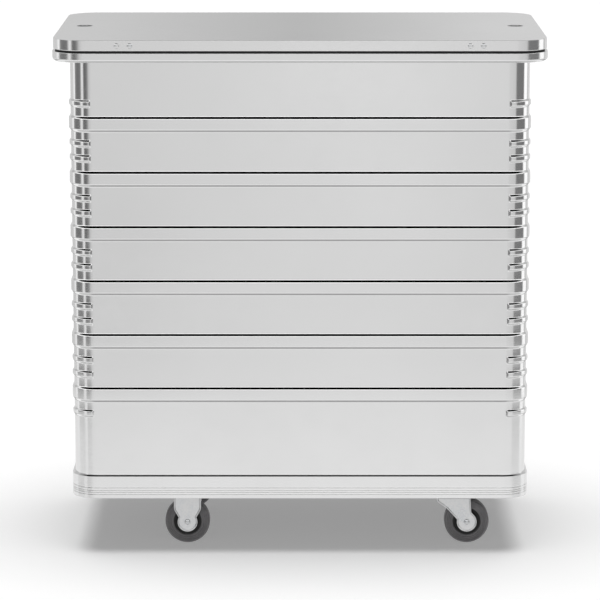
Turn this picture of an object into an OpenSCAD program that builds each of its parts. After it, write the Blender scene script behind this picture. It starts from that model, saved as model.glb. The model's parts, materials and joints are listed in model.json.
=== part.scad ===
// Rolling aluminium chest: a beaded sheet box on four casters, with a lift-off lid
// held by two quarter-turn latches. Millimetres. +Z is up, X runs along the long side,
// the front is -Y, and the origin is on the floor under the middle of the chest.

/* [Box] */
// Outside length of the box walls
box_l = 1000; // [800:10:1300]
// Outside width of the box walls
box_w = 530; // [440:10:700]
// Outside radius of the upright corners
corner_r = 48; // [30:1:80]
// Thickness of the wall, floor and lid sheet
sheet_t = 1.5; // [1:0.1:2.5]
// Height of the box walls
wall_h = 987; // [800:1:1300]

/* [Beads] */
// Height of the lowest bead's top edge above the walls' lower edge
bead_low = 245; // [190:1:300]
// Distance from bead to bead
bead_pitch = 120; // [96:1:150]
// Height of a bead between the middles of its slopes
bead_h = 29; // [20:1:36]
// How far a bead stands out from the wall
bead_out = 4; // [2:0.5:6]
// Height of a short bead at a corner
short_bead_h = 13; // [8:1:18]
// How far a short bead stands out from the wall
short_bead_out = 3.5; // [2:0.5:5]

/* [Base] */
// Height of the base rail
rail_h = 53; // [48:1:70]
// How far the base rail stands out from the walls
rail_out = 6; // [5:0.5:12]
// Width of the base rail's inward shelf
rail_shelf = 30; // [24:1:45]
// Thickness of the base rail's shelf
shelf_t = 4; // [3:0.5:6]
// Height of the channels that carry the casters and the floor
bearer_h = 18; // [14:1:30]
// Thickness of the channels that carry the casters
bearer_t = 3; // [2:0.5:5]

/* [Top frame and lid] */
// How far the top frame stands out from the walls
frame_out = 37; // [30:1:50]
// Outside radius of the top frame's corners
frame_r = 70; // [60:1:90]
// Height of the top frame's outer face
frame_h = 21; // [18:1:30]
// Thickness of the top frame
frame_t = 2; // [1.5:0.1:3]
// Height of the top frame's inner leg
frame_leg = 26; // [24:1:40]
// How far the lid is set back from the top frame's outer face
lid_inset = 2; // [1:0.5:5]
// Gap between the top frame and the lid's lower edge
lid_gap = 4; // [3:0.5:8]
// Height of the lid's side
lid_h = 24; // [20:1:40]
// Outside radius of the bend between the lid's top and side
lid_bend = 5; // [3:0.5:8]
// Width of the flange turned in under the lid
lid_return = 20; // [12:1:25]
// Distance of the lid's stiffening channels from the middle
stiffener_x = 380; // [300:5:450]
// Width of a stiffening channel
stiffener_w = 56; // [40:1:70]

/* [Latches] */
// Distance of a latch's axis from the end wall's outer face
latch_in = 18; // [18:0.5:30]
// Radius of the latch's turning plug
plug_r = 8; // [6:0.5:10]
// Reach of the latch's cam from its axis
cam_reach = 34; // [28:1:45]
// Width of the latch's cam
cam_w = 18; // [14:1:20]

/* [Casters] */
// Wheel diameter
wheel_d = 100; // [75:1:125]
// Wheel width
wheel_w = 32; // [26:1:40]
// Diameter of the tyre's inner face
tyre_in_d = 62; // [54:1:70]
// Distance of the casters from the chest's long middle plane
caster_y = 157; // [130:1:180]
// Place of the fixed casters along the chest
fixed_x = -253; // [-340:1:-200]
// Place of the swivel axes along the chest
swivel_x = 340; // [250:1:360]
// How far a swivel wheel trails behind its swivel axis
trail = 35; // [28:1:40]
// Height from the top of a wheel to the top of its caster
caster_rise = 32; // [32:1:45]
// Distance between a top plate's holes along the chest
hole_x = 80; // [66:1:100]
// Distance between a top plate's holes across the chest
hole_y = 60; // [50:1:80]
// Thickness of the casters' pressed steel
plate_t = 3; // [2.5:0.5:4]
// Diameter of the disc that ends a fork leg
leg_end_d = 45; // [36:1:52]
// Bolt size of axles and plate bolts
bolt_d = 8; // [6:1:10]

/* [Hidden] */
$fn = 48;
running = 0.05; // radial clearance of a shaft in its bore
easy = 0.3; // gap between pieces that move past each other
slip = 0.2; // gap of a piece set inside another
eps = 0.01;
through = 2; // extra depth of a cut that goes right through

// Rivets
rivet_r = 2.4;
rivet_head_r = 4.5;
rivet_head_h = 2;
rivet_tail_r = rivet_head_r * 0.8;
long_rivet_margin = 30; // from the corner's end to the first rivet
end_rivet_margin = 25;
seam_rivet_margin = 15; // room between the seam's top rivets and the frame's leg
lid_rivet_head_r = 6;

// Box
shelf_top = wheel_d + caster_rise;
rail_z = shelf_top - shelf_t;
floor_z = shelf_top + bearer_h;
wall_top = shelf_top + wall_h;
in_l = box_l - 2 * sheet_t;
in_w = box_w - 2 * sheet_t;
in_r = corner_r - sheet_t;
seam_gap = 0.2;
bead_slope = bead_out;
rim_clear = 60; // plain wall that is left above the highest bead
bead_n = floor((wall_h - bead_low - rim_clear) / bead_pitch) + 1;
bead_tops = [for (i = [0:bead_n - 1]) shelf_top + bead_low + i * bead_pitch];
short_bead_shares = [0.31, 0.67]; // places of the short beads in the flat below a bead
short_bead_trim = 5; // degrees by which a short bead stops before the corner's ends
floor_l = in_l - 2 * slip;
floor_w = in_w - 2 * slip;
floor_r = in_r - slip;
floor_flange = 26;
floor_rivet_z = floor_z + 15;
strap_w = 50;
strap_t = 2;
strap_gap = 3;

// Base rail
rail_grooves = [10, 15, 19, 25]; // heights of the grooves above the rail's lower edge
groove_d = 1;
groove_h = 1.4;
rail_skin = 3;
rail_lip = 6;
rail_edge_r = 4;
rail_chamfer = 3;
bearer_rivet_in = 16; // from the bearer's rivets to the long walls' outer face

// Top frame
frame_top = wall_top + frame_t;
frame_l = box_l + 2 * frame_out;
frame_w = box_w + 2 * frame_out;
frame_curl = 8;
leg_l = in_l - 2 * frame_t;
leg_w = in_w - 2 * frame_t;
leg_r = in_r - frame_t;
leg_bottom = frame_top - frame_leg;
frame_rivet_z = wall_top - 12;

// Lid
lid_l = frame_l - 2 * lid_inset;
lid_w = frame_w - 2 * lid_inset;
lid_r = frame_r - lid_inset;
lid_bottom = frame_top + lid_gap;
lid_top = lid_bottom + lid_h;
lid_under = lid_top - sheet_t;
stiffener_room = 6.5; // from the lid's lower edge to its stiffeners
stiffener_h = lid_h - sheet_t - stiffener_room;
stiffener_t = 1.5;
stiffener_z = lid_under - stiffener_h;
lid_rivet_z = lid_bottom + lid_h / 2;
lid_rivet_pitch = stiffener_w / 2;

// Latches
latch_x = box_l / 2 - latch_in;
cup_r = plug_r + 5;
cup_face_r = plug_r + 9.5; // the cup's face is level with the lid's top
cup_shoulder_r = cup_face_r + 3; // the shoulder bears on the lid from below
cup_shoulder_t = 2;
cup_bottom = lid_bottom + 5;
collar_t = 2.5;
collar_r = plug_r + 3;
cam_t = 3;
cam_z = leg_bottom + 8;
plug_square = 8;
plug_square_gap = 0.1; // between the plug's square end and the cam's hole, all in
key_recess = 7;
key_depth = 5;
cam_tip = 4; // length of the cam's narrowed tip
cam_tip_in = 3; // how far the tip is set in from the cam's sides
latch_screw_r = 2.5;
latch_screw_head_r = 6.5;
latch_screw_head_h = 3;
latch_screw_l = 13;
strike_t = 2;
strike_w = 90;
strike_reach = 40;
strike_notch = cam_w + 8;
strike_z = cam_z + cam_t + strike_t;
strike_rivet_z = leg_bottom + 6;
strike_rivet_y = 30;

// Casters
wheel_r = wheel_d / 2;
hub_r = 6;
hub_play = 0.8; // gap between a wheel's hub and the leg
hub_top_r = leg_end_d * 0.3;
hub_foot_r = leg_end_d * 0.36;
rim_slope = 4;
tyre_edge_r = 5;
axle_r = bolt_d / 2;
leg_gap = wheel_w + 6;
leg_in = leg_gap / 2;
leg_out = leg_in + plate_t;
swivel_wheel_x = swivel_x + trail;
leg_end_z = wheel_r + leg_end_d * 0.17; // where a leg's straight edges meet its disc
leg_end_x = leg_end_d * 0.47;
leg_neck = wheel_r * 1.72; // where a fixed fork's leg reaches its full width
leg_flange = 5; // width of a fixed leg's turned-out edges
swivel_front_x = leg_end_d * 0.21; // from the wheel's middle to a swivel leg's front edge
swivel_front_z = wheel_r * 1.3;
swivel_back_z = wheel_r * 1.65;
plate_z = shelf_top - plate_t;
plate_edge = 12.5; // from a top plate's holes to its edges
plate_l = hole_x + 2 * plate_edge;
plate_w = hole_y + 2 * plate_edge;
leg_top_x = plate_l * 0.29; // half width of a fixed fork's leg at its top
bearer_w = plate_l + 15;
bearer_rivet_dx = 0.3 * bearer_w;
crown_z = wheel_r * 2 + 7;
crown_t = 8;
crown_r = 32;
crown_back = 0.7 * crown_r; // from the swivel axis to the back end of the legs
race_r = 30;
race_z = crown_z + crown_t + 4;
ball_r = 3.5;
ball_n = 16;
ball_pitch_r = 24;
ball_z = (crown_z + crown_t + race_z) / 2;
kingpin_r = 6;
kingpin_head_r = 11;
kingpin_head_h = 5;
bolt_head_r = bolt_d * 0.8;
bolt_head_h = bolt_d * 0.66;
axle_head_h = bolt_head_h * 0.8;
nut_h = bolt_d * 0.8;
bolt_tail = 2; // how far a bolt shows past its nut
hole_r = bolt_d / 2 + 0.4;

// ---- Shared shapes ----

// Points of an arc about (x, y), from angle a to angle b in n steps
function arc(x, y, r, a, b, n = 6) =
    [for (i = [0:n]) let (t = a + (b - a) * i / n) [x + r * cos(t), y + r * sin(t)]];

// n places spread evenly from -half to half
function spread(half, n) = [for (i = [0:n - 1]) n == 1 ? 0 : -half + 2 * half * i / (n - 1)];

// A profile drawn as (outward, up), run straight along Y
module run(len) {
    rotate([90, 0, 0]) linear_extrude(len, center = true) children();
}

// The same profile turned round one upright corner; turn is the corner's quarter
module corner(l, w, r, turn) {
    sx = turn == 0 || turn == 270 ? 1 : -1;
    sy = turn < 180 ? 1 : -1;
    translate([sx * (l / 2 - r), sy * (w / 2 - r), 0]) rotate([0, 0, turn])
        rotate_extrude(angle = 90) translate([r, 0]) children();
}

// A closed ring: the profile run round a rectangle with round corners
module ring(l, w, r) {
    for (turn = [0, 180]) {
        rotate([0, 0, turn]) translate([l / 2, 0, 0]) run(w - 2 * r) children();
        rotate([0, 0, turn + 90]) translate([w / 2, 0, 0]) run(l - 2 * r) children();
    }
    for (turn = [0:90:270]) corner(l, w, r, turn) children();
}

// The front half of a ring, which stops short of the middle of the ends
module half_ring(l, w, r, gap) {
    half = w / 2 - r - gap / 2;
    middle = (half + gap) / 2;
    for (turn = [0, 180])
        rotate([0, 0, turn]) translate([l / 2, turn == 0 ? -middle : middle, 0])
            run(half) children();
    rotate([0, 0, -90]) translate([w / 2, 0, 0]) run(l - 2 * r) children();
    for (turn = [180, 270]) corner(l, w, r, turn) children();
}

// A flat plate with round corners
module slab(l, w, r, z, t) {
    translate([0, 0, z + t / 2]) cube([l - 2 * r, w - 2 * r, t], center = true);
    translate([0, 0, z]) ring(l, w, r) translate([-r, 0]) square([r, t]);
}

// A rivet along +Z through a grip that starts at z = 0, with a low round head at each end
module rivet(grip, head_r = rivet_head_r, tail_r = rivet_head_r) {
    rotate_extrude() polygon(concat(
        [[0, -rivet_head_h]],
        [[head_r * 0.6, -rivet_head_h], [head_r * 0.9, -rivet_head_h * 0.6], [head_r, 0], [rivet_r, 0]],
        [[rivet_r, grip], [tail_r, grip], [tail_r * 0.9, grip + rivet_head_h * 0.6]],
        [[tail_r * 0.6, grip + rivet_head_h], [0, grip + rivet_head_h]]
    ));
}

// Places its children at an outer face, facing in: on the front and rear when side is "long",
// on the two ends when side is "end". places are distances along that side.
module on_side(side, half, places, z) {
    for (turn = side == "long" ? [0, 180] : [90, 270])
        for (p = places)
            rotate([0, 0, turn]) translate([p, -half, z]) rotate([-90, 0, 0]) children();
}

// ---- Places of the rivets, shared by the pieces that they hold ----

long_rivets = spread(box_l / 2 - corner_r - long_rivet_margin, 8);
end_rivets = spread(box_w / 2 - corner_r - end_rivet_margin, 4);
seam_rows = [
    (floor_z + floor_flange + bead_tops[0] - bead_h) / 2,
    for (top = bead_tops) top + (bead_pitch - bead_h) / 2
];

module wall_rivets(z) {
    on_side("long", box_w / 2, long_rivets, z) children();
    on_side("end", box_l / 2, end_rivets, z) children();
}

module seam_rivet_places() {
    for (z = [for (row = seam_rows) if (row < leg_bottom - seam_rivet_margin) row])
        on_side("end", box_l / 2, [-strap_w * 0.3, strap_w * 0.3], z) children();
}

module strike_rivet_places() {
    on_side("end", box_l / 2, [-strike_rivet_y, strike_rivet_y], strike_rivet_z) children();
}

module lid_rivet_places() {
    on_side("long", lid_w / 2,
        [for (s = [-1, 1], p = [-0.5, 0.5]) s * stiffener_x + p * lid_rivet_pitch], lid_rivet_z)
        children();
}

module bearer_rivet_places() {
    for (x = [fixed_x, swivel_x], dx = [-1, 1], sy = [-1, 1])
        translate([x + dx * bearer_rivet_dx, sy * (box_w / 2 - bearer_rivet_in), rail_z]) children();
}

module drill(depth) {
    translate([0, 0, -1]) cylinder(r = rivet_r, h = depth + 1);
}

// ---- Box ----

// The outer line of the wall, going up, with a flat-topped ridge for each bead
function wall_line(shift) = concat(
    [[shift, shelf_top]],
    [for (top = bead_tops) let (low = top - bead_h, s = bead_slope / 2)
        each [[shift, low - s], [shift + bead_out, low + s],
              [shift + bead_out, top - s], [shift, top + s]]],
    [[shift, wall_top]]
);

function reversed(list) = [for (i = [len(list) - 1:-1:0]) list[i]];

// Middles of the short corner beads: the upper one below every bead, and the lower one in the
// flat above every bead
short_bead_flat = bead_pitch - bead_h;
short_beads = concat(
    [for (top = bead_tops) top - bead_h - short_bead_shares[0] * short_bead_flat],
    [for (top = bead_tops) top + (1 - short_bead_shares[1]) * short_bead_flat]
);

module short_bead(turn) {
    sx = turn == 270 ? 1 : -1;
    slope = short_bead_out;
    for (z = short_beads)
        translate([sx * (box_l / 2 - corner_r), -(box_w / 2 - corner_r), z]) rotate([0, 0, turn])
            rotate_extrude(angle = 90 - 2 * short_bead_trim, start = short_bead_trim)
                translate([corner_r, 0]) polygon([
                    [-sheet_t / 2, -short_bead_h / 2 - slope / 2],
                    [short_bead_out, -short_bead_h / 2 + slope / 2],
                    [short_bead_out, short_bead_h / 2 - slope / 2],
                    [-sheet_t / 2, short_bead_h / 2 + slope / 2]
                ]);
}

module wall_half() {
    difference() {
        union() {
            half_ring(box_l, box_w, corner_r, seam_gap)
                polygon(concat(wall_line(0), reversed(wall_line(-sheet_t))));
            for (turn = [180, 270]) short_bead(turn);
        }
        wall_rivets(floor_rivet_z) drill(sheet_t + 1);
        wall_rivets(frame_rivet_z) drill(sheet_t + 1);
        seam_rivet_places() drill(sheet_t + 1);
        strike_rivet_places() drill(sheet_t + 1);
    }
}

module wall_front() {
    color("gainsboro") wall_half();
}

module wall_rear() {
    color("gainsboro") rotate([0, 0, 180]) wall_half();
}

module seam_strap() {
    low = floor_z + floor_flange + strap_gap;
    high = leg_bottom - strap_gap;
    difference() {
        translate([in_l / 2 - strap_t, -strap_w / 2, low]) cube([strap_t, strap_w, high - low]);
        seam_rivet_places() drill(sheet_t + strap_t + 1);
    }
}

module seam_strap_left() {
    color("silver") rotate([0, 0, 180]) seam_strap();
}

module seam_strap_right() {
    color("silver") seam_strap();
}

module seam_rivets() {
    color("darkgray") seam_rivet_places() rivet(sheet_t + strap_t, tail_r = rivet_tail_r);
}

module floor_panel() {
    color("lightgray") difference() {
        union() {
            slab(floor_l, floor_w, floor_r, floor_z, sheet_t);
            translate([0, 0, floor_z]) ring(floor_l, floor_w, floor_r)
                translate([-sheet_t, 0]) square([sheet_t, floor_flange]);
        }
        wall_rivets(floor_rivet_z) drill(2 * sheet_t + slip + 1);
    }
}

module floor_rivets() {
    color("darkgray") wall_rivets(floor_rivet_z) rivet(2 * sheet_t + slip, tail_r = rivet_tail_r);
}

// ---- Base ----

module rail_section() {
    polygon(concat(
        [[-rail_shelf, rail_z]],
        arc(rail_out - rail_edge_r, rail_z + rail_edge_r, rail_edge_r, -90, 0, 4),
        [for (g = rail_grooves) let (z = rail_z + g)
            each [[rail_out, z - groove_h / 2], [rail_out - groove_d, z],
                  [rail_out, z + groove_h / 2]]],
        [[rail_out, rail_z + rail_h - rail_chamfer], [rail_out - rail_chamfer, rail_z + rail_h]],
        [[0, rail_z + rail_h], [0, rail_z + rail_h - rail_lip]],
        [[rail_out - rail_skin, rail_z + rail_h - rail_lip], [rail_out - rail_skin, shelf_top]],
        [[-rail_shelf, shelf_top]]
    ));
}

module base_rail() {
    color("whitesmoke") difference() {
        ring(box_l, box_w, corner_r) rail_section();
        bearer_rivet_places() drill(shelf_t + 1);
    }
}

module caster_holes() {
    for (dx = [-0.5, 0.5], dy = [-0.5, 0.5])
        translate([dx * hole_x, dy * hole_y, 0]) children();
}

module bearer(x) {
    h = floor_z - shelf_top;
    difference() {
        translate([x, 0, shelf_top]) run(in_w - 2 * slip) polygon([
            [-bearer_w / 2, 0], [bearer_w / 2, 0], [bearer_w / 2, h],
            [bearer_w / 2 - bearer_t, h], [bearer_w / 2 - bearer_t, bearer_t],
            [bearer_t - bearer_w / 2, bearer_t], [bearer_t - bearer_w / 2, h], [-bearer_w / 2, h]
        ]);
        bearer_rivet_places() drill(shelf_t + bearer_t + 1);
        for (sy = [-1, 1]) translate([x, sy * caster_y, shelf_top - 1])
            caster_holes() cylinder(r = hole_r, h = bearer_t + 2);
    }
}

module bearer_left() {
    color("silver") bearer(fixed_x);
}

module bearer_right() {
    color("silver") bearer(swivel_x);
}

module bearer_rivets() {
    color("darkgray") bearer_rivet_places() rivet(shelf_t + bearer_t);
}

// ---- Top frame and strikes ----

// The outer skirt of the frame, turned in along its lower edge
module skirt_section() {
    low = wall_top + frame_t - frame_h;
    cx = -frame_curl;
    cz = low + frame_curl;
    polygon(concat(
        [[0, frame_top]],
        arc(cx, cz, frame_curl, 0, -90),
        arc(cx, cz, frame_curl - frame_t, -90, 0),
        [[-frame_t, frame_top]]
    ));
}

module top_frame() {
    color("lightgray") difference() {
        union() {
            difference() {
                slab(frame_l, frame_w, frame_r, wall_top, frame_t);
                slab(leg_l, leg_w, leg_r, wall_top - 1, frame_t + 2);
            }
            ring(frame_l, frame_w, frame_r) skirt_section();
            translate([0, 0, leg_bottom]) ring(in_l, in_w, in_r)
                translate([-frame_t, 0]) square([frame_t, frame_leg]);
        }
        wall_rivets(frame_rivet_z) drill(sheet_t + frame_t + 1);
        strike_rivet_places() drill(sheet_t + frame_t + 1);
    }
}

module top_frame_rivets() {
    color("darkgray") {
        wall_rivets(frame_rivet_z) rivet(sheet_t + frame_t, tail_r = rivet_tail_r);
        strike_rivet_places() rivet(sheet_t + frame_t + strike_t, tail_r = rivet_tail_r);
    }
}

// A bracket inside the end wall; its two prongs leave a notch that the latch passes through
module strike() {
    face = leg_l / 2;
    difference() {
        union() {
            translate([face - strike_t, -strike_w / 2, leg_bottom])
                cube([strike_t, strike_w, strike_z + strike_t - leg_bottom]);
            translate([face - strike_reach, -strike_w / 2, strike_z])
                cube([strike_reach - strike_t, strike_w, strike_t]);
        }
        translate([face - strike_reach - 1, -strike_notch / 2, strike_z - 1])
            cube([strike_reach + 1 - strike_t, strike_notch, strike_t + 2]);
        strike_rivet_places() drill(sheet_t + frame_t + strike_t + 1);
    }
}

module strike_left() {
    color("silver") rotate([0, 0, 180]) strike();
}

module strike_right() {
    color("silver") strike();
}

// ---- Lid ----

module lid_section() {
    polygon(concat(
        arc(-lid_bend, lid_top - lid_bend, lid_bend, 90, 0),
        [[0, lid_bottom], [-lid_return, lid_bottom], [-lid_return, lid_bottom + sheet_t]],
        [[-sheet_t, lid_bottom + sheet_t]],
        arc(-lid_bend, lid_top - lid_bend, lid_bend - sheet_t, 0, 90)
    ));
}

module lid_panel() {
    color("gainsboro") difference() {
        union() {
            slab(lid_l - 2 * lid_bend, lid_w - 2 * lid_bend, lid_r - lid_bend, lid_under, sheet_t);
            ring(lid_l, lid_w, lid_r) lid_section();
        }
        for (s = [-1, 1]) translate([s * latch_x, 0, lid_under - 1])
            cylinder(r = cup_face_r + running, h = sheet_t + through);
        lid_rivet_places() drill(sheet_t + 1);
    }
}

// A channel under the lid. Its sides stop short of the lid's bend, and a lower stub with a tab
// goes on to meet the lid's side.
module channel_section(h) {
    w = stiffener_w / 2;
    t = stiffener_t;
    polygon([[-w, 0], [w, 0], [w, h], [w - t, h], [w - t, t], [t - w, t], [t - w, h], [-w, h]]);
}

module lid_stiffener(x) {
    len = lid_w - 2 * sheet_t;
    stub_h = lid_top - lid_bend - stiffener_z;
    difference() {
        translate([x, 0, stiffener_z]) {
            run(lid_w - 2 * lid_bend) channel_section(stiffener_h);
            run(len) channel_section(stub_h);
            for (s = [-1, 1]) translate([0, s * (len - stiffener_t) / 2, stub_h / 2])
                cube([stiffener_w, stiffener_t, stub_h], center = true);
        }
        lid_rivet_places() drill(sheet_t + stiffener_t + 1);
    }
}

module lid_stiffener_left() {
    color("silver") lid_stiffener(-stiffener_x);
}

module lid_stiffener_right() {
    color("silver") lid_stiffener(stiffener_x);
}

module lid_seal() {
    color("dimgray") translate([0, 0, frame_top + easy]) ring(lid_l, lid_w, lid_r)
        translate([-lid_return + 2, 0]) square([lid_return - 6, lid_gap - easy]);
}

module lid_rivets() {
    color("darkgray") lid_rivet_places()
        rivet(sheet_t + stiffener_t, head_r = lid_rivet_head_r, tail_r = rivet_tail_r);
}

// ---- Latches ----

module latch_cup(s) {
    translate([s * latch_x, 0, 0]) rotate_extrude() polygon([
        [plug_r + running, cup_bottom], [cup_r, cup_bottom],
        [cup_r, lid_under - cup_shoulder_t], [cup_shoulder_r, lid_under - cup_shoulder_t],
        [cup_shoulder_r, lid_under], [cup_face_r, lid_under],
        [cup_face_r, lid_top], [plug_r + running, lid_top]
    ]);
}

module latch_cup_left() {
    color("dimgray") latch_cup(-1);
}

module latch_cup_right() {
    color("dimgray") latch_cup(1);
}

// The turning plug: a collar under the cup, a square end for the cam, and a square key recess
module latch_plug(s) {
    translate([s * latch_x, 0, 0]) difference() {
        union() {
            translate([0, 0, cam_z + cam_t]) cylinder(r = plug_r, h = lid_top - cam_z - cam_t);
            translate([0, 0, cup_bottom - easy - collar_t]) cylinder(r = collar_r, h = collar_t);
            translate([0, 0, cam_z + cam_t / 2 + eps])
                cube([plug_square, plug_square, cam_t], center = true);
        }
        translate([0, 0, lid_top]) cube([key_recess, key_recess, 2 * key_depth], center = true);
        translate([0, 0, cam_z - 1]) cylinder(r = latch_screw_r, h = latch_screw_l);
    }
}

module latch_plug_left() {
    color("gray") latch_plug(-1);
}

module latch_plug_right() {
    color("gray") latch_plug(1);
}

// The cam points at the chest's middle when the latch is open
module latch_cam(s) {
    translate([s * latch_x, 0, cam_z]) rotate([0, 0, s == 1 ? 180 : 0]) difference() {
        union() {
            cylinder(r = cam_w / 2, h = cam_t);
            translate([0, -cam_w / 2, 0]) cube([cam_reach - cam_tip, cam_w, cam_t]);
            translate([cam_reach - cam_tip - eps, cam_tip_in - cam_w / 2, 0])
                cube([cam_tip + eps, cam_w - 2 * cam_tip_in, cam_t]);
        }
        translate([0, 0, cam_t / 2])
            cube([plug_square + plug_square_gap, plug_square + plug_square_gap, cam_t + through],
                 center = true);
    }
}

module latch_cam_left() {
    color("silver") latch_cam(-1);
}

module latch_cam_right() {
    color("silver") latch_cam(1);
}

module latch_screw(s) {
    translate([s * latch_x, 0, cam_z - latch_screw_head_h]) {
        cylinder(r = latch_screw_head_r, h = latch_screw_head_h - eps);
        cylinder(r = latch_screw_r - running, h = latch_screw_l);
    }
}

module latch_screw_left() {
    color("darkgray") latch_screw(-1);
}

module latch_screw_right() {
    color("darkgray") latch_screw(1);
}

// ---- Casters ----
// side is -1 for a front caster and 1 for a rear one

module hex(h) {
    cylinder(r = bolt_d, h = h, $fn = 6);
}

module caster_places() {
    for (x = [fixed_x, swivel_x], side = [-1, 1])
        translate([x, side * caster_y, 0]) caster_holes() children();
}

module caster_bolts() {
    color("darkgray") caster_places() {
        translate([0, 0, plate_z - bolt_head_h]) cylinder(r = bolt_head_r, h = bolt_head_h);
        translate([0, 0, plate_z - eps])
            cylinder(r = bolt_d / 2, h = plate_t + bearer_t + nut_h + bolt_tail);
    }
}

module caster_nuts() {
    color("darkgray") caster_places() translate([0, 0, shelf_top + bearer_t]) difference() {
        hex(nut_h);
        translate([0, 0, -1]) cylinder(r = bolt_d / 2 + running, h = nut_h + 2);
    }
}

// A plate of the fork's leg, drawn in the wheel's plane and set at one side of the wheel
module leg(points) {
    for (s = [-1, 1]) translate([0, s * (leg_in + plate_t / 2), 0]) {
        run(plate_t) polygon(points);
        rotate([90, 0, 0]) translate([0, wheel_r, -plate_t / 2])
            cylinder(d = leg_end_d, h = plate_t);
    }
}

module axle_bore(r) {
    translate([0, 0, wheel_r]) rotate([90, 0, 0]) cylinder(r = r, h = 3 * wheel_w, center = true);
}

module fixed_fork(side) {
    translate([fixed_x, side * caster_y, 0]) difference() {
        union() {
            translate([0, 0, plate_z + plate_t / 2]) cube([plate_l, plate_w, plate_t], center = true);
            leg([[-leg_end_x, leg_end_z], [leg_end_x, leg_end_z], [leg_top_x, leg_neck],
                 [leg_top_x, plate_z + eps], [-leg_top_x, plate_z + eps], [-leg_top_x, leg_neck]]);
            for (sx = [-1, 1], sy = [-1, 1])
                translate([sx * (leg_top_x - plate_t / 2), sy * (leg_out + leg_flange / 2 - eps),
                           (leg_neck + plate_z) / 2])
                    cube([plate_t, leg_flange, plate_z - leg_neck], center = true);
        }
        axle_bore(axle_r + running);
        translate([0, 0, plate_z - 1]) caster_holes() cylinder(r = hole_r, h = plate_t + 2);
    }
}

module swivel_fork(side) {
    front = trail + swivel_front_x;
    translate([swivel_x, side * caster_y, 0]) difference() {
        union() {
            translate([0, 0, crown_z]) cylinder(r = crown_r, h = crown_t);
            translate([-crown_back, -leg_out, crown_z]) cube([front + crown_back, 2 * leg_out, plate_t]);
            translate([trail, 0, 0])
                leg([[-leg_end_x, leg_end_z], [swivel_front_x, swivel_front_z],
                     [swivel_front_x, crown_z + eps], [-trail - crown_back, crown_z + eps],
                     [-leg_end_d, swivel_back_z]]);
        }
        translate([trail, 0, 0]) axle_bore(axle_r + running);
        translate([0, 0, crown_z - 1]) cylinder(r = kingpin_r + running, h = crown_t + 2);
        translate([0, 0, ball_z]) rotate_extrude()
            translate([ball_pitch_r, 0]) circle(r = ball_r + easy / 2);
    }
}

module swivel_plate(side) {
    translate([swivel_x, side * caster_y, 0]) difference() {
        union() {
            translate([0, 0, plate_z + plate_t / 2]) cube([plate_l, plate_w, plate_t], center = true);
            translate([0, 0, race_z]) cylinder(r = race_r, h = plate_z - race_z + eps);
        }
        translate([0, 0, race_z - 1]) cylinder(r = kingpin_r, h = 20);
        translate([0, 0, ball_z]) rotate_extrude()
            translate([ball_pitch_r, 0]) circle(r = ball_r + easy / 2);
        translate([0, 0, plate_z - 1]) caster_holes() cylinder(r = hole_r, h = plate_t + 2);
    }
}

module swivel_kingpin(side) {
    translate([swivel_x, side * caster_y, crown_z - easy - kingpin_head_h]) {
        cylinder(r = kingpin_head_r, h = kingpin_head_h);
        cylinder(r = kingpin_r, h = plate_z + plate_t - crown_z + easy + kingpin_head_h);
    }
}

module swivel_balls(side) {
    translate([swivel_x, side * caster_y, ball_z])
        for (i = [0:ball_n - 1])
            rotate([0, 0, 360 * i / ball_n]) translate([ball_pitch_r, 0, 0]) sphere(r = ball_r);
}

// The pieces of one wheel, about its axle at height wheel_r
module wheel_place(x, side) {
    translate([x, side * caster_y, wheel_r]) rotate([90, 0, 0]) children();
}

module bush() {
    difference() {
        cylinder(r = hub_r, h = leg_gap, center = true);
        cylinder(r = axle_r + running, h = leg_gap + 2, center = true);
    }
}

module axle() {
    translate([0, 0, -leg_out - nut_h - bolt_tail])
        cylinder(r = axle_r, h = 2 * leg_out + nut_h + bolt_tail + eps);
    translate([0, 0, leg_out]) cylinder(r = bolt_head_r, h = axle_head_h);
}

module axle_nut() {
    translate([0, 0, -leg_out - nut_h]) difference() {
        hex(nut_h);
        translate([0, 0, -1]) cylinder(r = axle_r + running, h = nut_h + 2);
    }
}

module core() {
    web = wheel_w * 0.4;
    rim = wheel_w * 0.44;
    rim_r = tyre_in_d / 2;
    hub = leg_in - hub_play;
    rotate_extrude() polygon([
        [hub_r + running, -hub], [hub_top_r, -hub], [hub_foot_r, -web],
        [rim_r - rim_slope, -web], [rim_r, -rim], [rim_r, rim], [rim_r - rim_slope, web],
        [hub_foot_r, web], [hub_top_r, hub], [hub_r + running, hub]
    ]);
}

module tyre() {
    w = wheel_w / 2;
    rotate_extrude() polygon(concat(
        [[tyre_in_d / 2, -w], [wheel_r - tyre_edge_r, -w]],
        arc(wheel_r - tyre_edge_r, -w + tyre_edge_r, tyre_edge_r, -90, 0, 4),
        arc(wheel_r - tyre_edge_r, w - tyre_edge_r, tyre_edge_r, 0, 90, 4),
        [[tyre_in_d / 2, w]]
    ));
}

module fixed_fork_front() { color("silver") fixed_fork(-1); }
module fixed_fork_rear() { color("silver") fixed_fork(1); }
module fixed_bush_front() { color("darkgray") wheel_place(fixed_x, -1) bush(); }
module fixed_bush_rear() { color("darkgray") wheel_place(fixed_x, 1) bush(); }
module fixed_axle_front() { color("darkgray") wheel_place(fixed_x, -1) axle(); }
module fixed_axle_rear() { color("darkgray") wheel_place(fixed_x, 1) axle(); }
module fixed_nut_front() { color("darkgray") wheel_place(fixed_x, -1) axle_nut(); }
module fixed_nut_rear() { color("darkgray") wheel_place(fixed_x, 1) axle_nut(); }
module fixed_core_front() { color("#202020") wheel_place(fixed_x, -1) core(); }
module fixed_core_rear() { color("#202020") wheel_place(fixed_x, 1) core(); }
module fixed_tyre_front() { color("dimgray") wheel_place(fixed_x, -1) tyre(); }
module fixed_tyre_rear() { color("dimgray") wheel_place(fixed_x, 1) tyre(); }
module swivel_plate_front() { color("silver") swivel_plate(-1); }
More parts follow.
